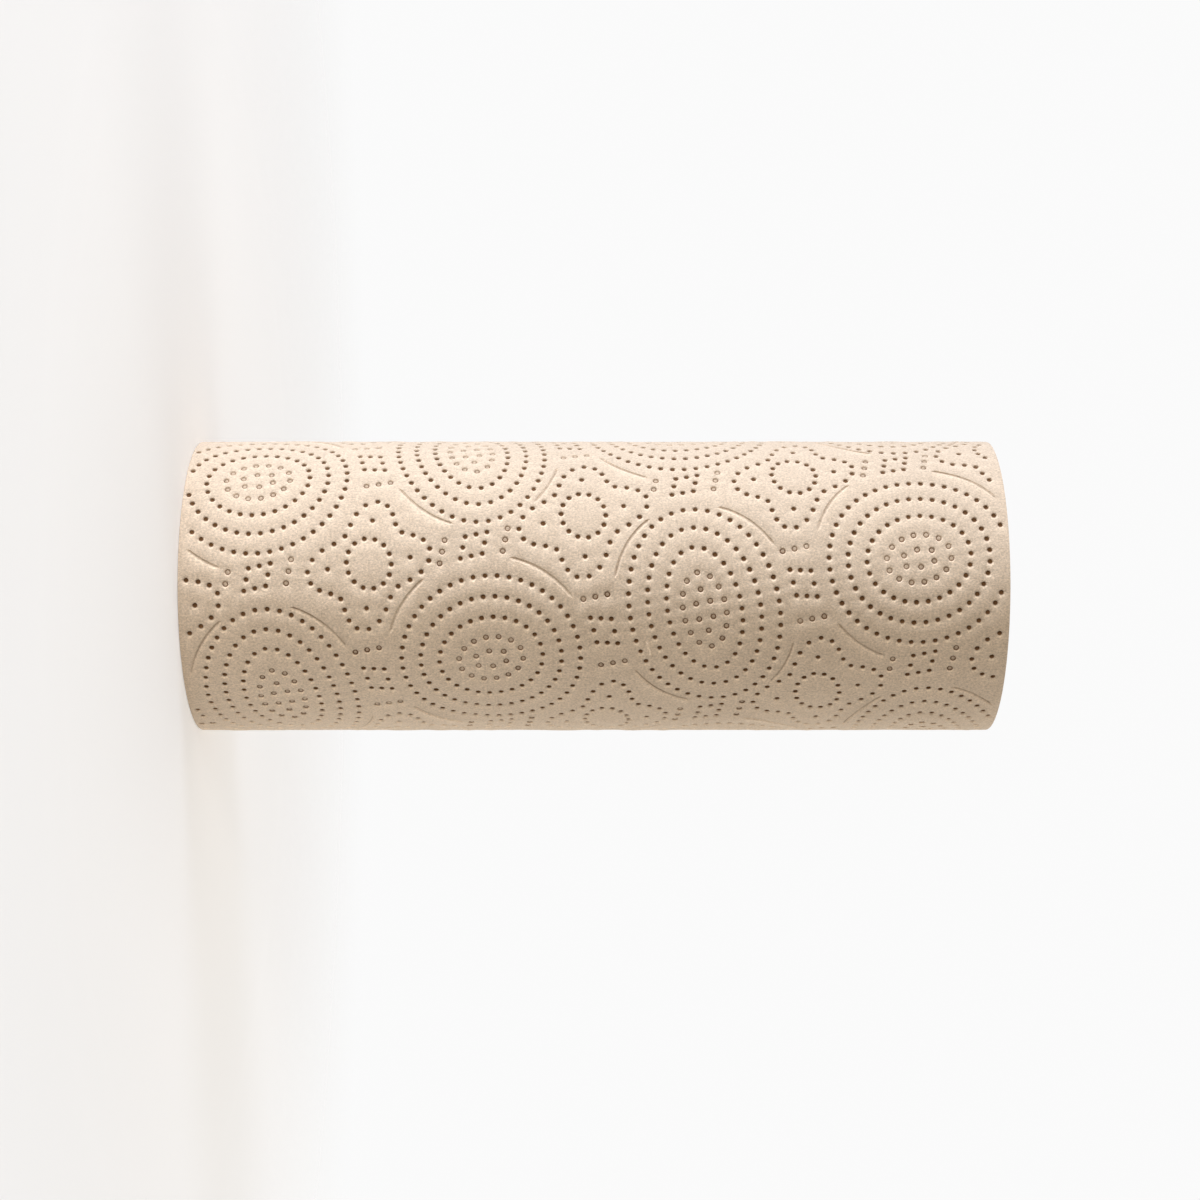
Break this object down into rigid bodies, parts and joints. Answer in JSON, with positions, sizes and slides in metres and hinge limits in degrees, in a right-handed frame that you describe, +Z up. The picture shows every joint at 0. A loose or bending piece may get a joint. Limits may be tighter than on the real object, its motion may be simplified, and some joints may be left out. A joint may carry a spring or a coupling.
{
  "type": "paper towel roll",
  "caption": "Upright roll of embossed kraft paper towel wound on an open cardboard core that slips over a holder's rod.",
  "frame": {"origin": "centre of the core's bore at the lower end of the roll, on the surface that the roll stands on", "axes": "+Z up along the roll's axis; -Y is the front, the side that the picture shows; the flat spot faces +Y"},
  "size_m": [0.103, 0.1025, 0.2794],
  "materials": {
    "kraft_paper": "soft unbleached embossed tissue, matt",
    "core_board": "spiral-wound chipboard, matt"
  },
  "bodies": {
    "root": {"paper_roll": "kraft_paper", "core_tube": "core_board"}
  },
  "joints": []
}
